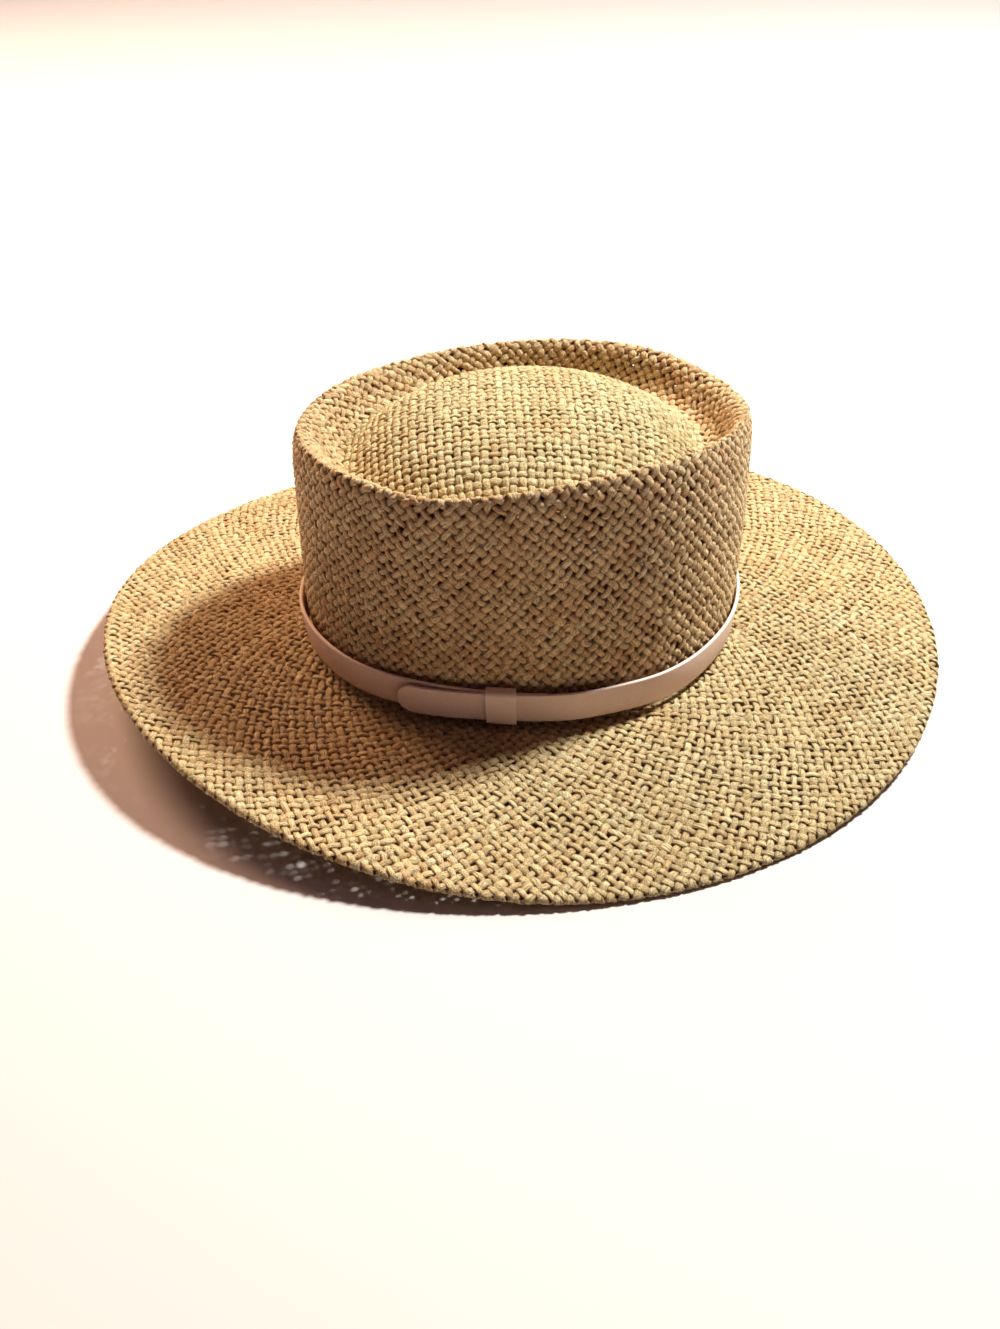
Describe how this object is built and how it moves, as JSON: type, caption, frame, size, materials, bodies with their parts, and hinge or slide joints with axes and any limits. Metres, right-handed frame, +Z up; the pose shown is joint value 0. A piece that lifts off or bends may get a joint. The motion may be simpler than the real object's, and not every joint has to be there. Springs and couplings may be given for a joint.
{
  "type": "woven straw hat with leather band",
  "caption": "Woven straw hat with a domed crown top set inside a raised rim, a wide drooping brim and a leather strap held by a loop.",
  "frame": {"origin": "middle of the brim's outline, at the level of the surface that the hat rests on", "axes": "+Z up through the crown, front of the hat towards -Y, wearer's left towards +X"},
  "size_m": [0.3686, 0.379, 0.1261],
  "materials": {
    "straw": "matte woven paper straw",
    "leather": "smooth matte leather"
  },
  "bodies": {
    "root": {"crown": "straw", "brim": "straw", "band_strap": "leather", "band_keeper": "leather"}
  },
  "joints": []
}
